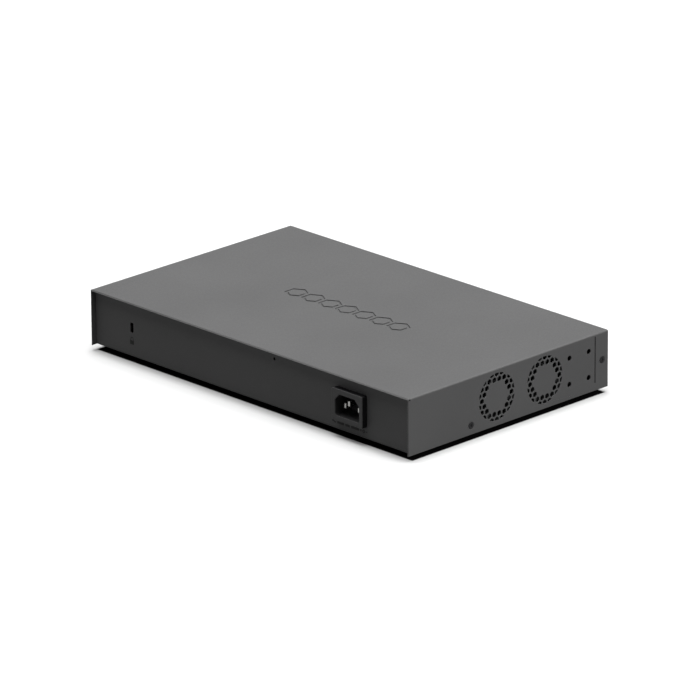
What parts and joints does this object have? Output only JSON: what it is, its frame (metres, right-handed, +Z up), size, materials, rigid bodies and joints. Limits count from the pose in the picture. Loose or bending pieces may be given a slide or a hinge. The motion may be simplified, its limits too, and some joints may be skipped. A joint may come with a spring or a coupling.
{
  "type": "rackmount network switch",
  "caption": "Compact one-unit steel network switch with a rear mains inlet, side exhaust fans behind hexagon vents, front network sockets and module cages, on rubber feet.",
  "frame": {"origin": "floor level under the middle of the case", "axes": "+X along the case's width, to the right when facing the ports; +Y towards the rear panel with the mains inlet; +Z up"},
  "size_m": [0.33, 0.2041, 0.0472],
  "materials": {
    "case_paint": "fine-textured satin dark grey powder coat",
    "screw_paint": "blackened steel",
    "rubber": "matte",
    "board_laminate": "solder-resist green",
    "tinned_metal": "tin plated",
    "socket_plastic": "moulded black",
    "fan_plastic": "moulded black",
    "clear_guide": "frosted clear",
    "ivory_plastic": "moulded ivory",
    "aluminium": "extruded",
    "insulator_film": "film",
    "ferrite": "sintered",
    "winding_tape": "yellow tape and casing",
    "capacitor_sleeve": "shrink sleeve",
    "copper": "enamelled copper on laminations",
    "zinc_steel": "zinc plated",
    "wire_brown": "insulated wire",
    "wire_blue": "insulated wire",
    "wire_green": "insulated wire",
    "wire_red": "sleeved bundle",
    "wire_black": "insulated lead"
  },
  "bodies": {
    "chassis": {"top_cover": "case_paint", "chassis_tray": "case_paint", "front_panel": "case_paint", "inlet_faceplate": "case_paint", "cover_screw_front_left": "screw_paint", "cover_screw_front_right": "screw_paint", "cover_screw_lower_left": "screw_paint", "cover_screw_lower_right": "screw_paint", "rubber_foot_front_left": "rubber", "rubber_foot_front_right": "rubber", "rubber_foot_rear_left": "rubber", "rubber_foot_rear_right": "rubber", "main_board": "board_laminate", "power_supply_board": "board_laminate", "port_shield": "tinned_metal", "module_cage_left": "tinned_metal", "module_cage_right": "tinned_metal", "inlet_pin_line": "tinned_metal", "inlet_pin_neutral": "tinned_metal", "inlet_pin_earth": "tinned_metal", "port_housing": "socket_plastic", "module_connector_left": "socket_plastic", "module_connector_right": "socket_plastic", "power_inlet_housing": "socket_plastic", "mode_switch": "socket_plastic", "reset_switch": "socket_plastic", "switch_chip": "socket_plastic", "line_chip": "socket_plastic", "fan_frame_front": "fan_plastic", "fan_frame_rear": "fan_plastic", "port_light_pipe": "clear_guide", "status_light_pipe": "clear_guide", "mains_header": "ivory_plastic", "output_header": "ivory_plastic", "power_header": "ivory_plastic", "fan_header": "ivory_plastic", "switch_heatsink": "aluminium", "line_heatsink": "aluminium", "primary_heatsink": "aluminium", "secondary_heatsink": "aluminium", "insulator_sheet": "insulator_film", "transformer_core": "ferrite", "transformer_winding": "winding_tape", "filter_capacitor": "winding_tape", "bulk_capacitor_front": "capacitor_sleeve", "bulk_capacitor_rear": "capacitor_sleeve", "fan_stator_front": "copper", "fan_stator_rear": "copper", "line_choke": "copper", "fan_bracket": "zinc_steel", "mains_line_wire": "wire_brown", "mains_neutral_wire": "wire_blue", "mains_earth_wire": "wire_green", "output_harness": "wire_red", "fan_cable_front": "wire_black", "fan_cable_rear": "wire_black"},
    "front_rotor": {"fan_impeller_front": "fan_plastic"},
    "rear_rotor": {"fan_impeller_rear": "fan_plastic"},
    "mode_key": {"mode_button": "socket_plastic"},
    "reset_key": {"reset_button": "ivory_plastic"}
  },
  "joints": [
    {"name": "fan_front_spin", "type": "hinge", "parent": "chassis", "child": "front_rotor", "pos_m": [-0.152, -0.0361, 0.0259], "axis": [1, 0, 0], "continuous": true},
    {"name": "fan_rear_spin", "type": "hinge", "parent": "chassis", "child": "rear_rotor", "pos_m": [-0.152, 0.0128, 0.0259], "axis": [1, 0, 0], "continuous": true},
    {"name": "mode_press", "type": "slide", "parent": "chassis", "child": "mode_key", "axis": [0, 1, 0], "range_m": [0, 0.0006], "stiffness_N_per_m": 500, "springref_m": -0.001},
    {"name": "reset_press", "type": "slide", "parent": "chassis", "child": "reset_key", "axis": [0, 1, 0], "range_m": [0, 0.0003], "stiffness_N_per_m": 500, "springref_m": -0.001}
  ]
}
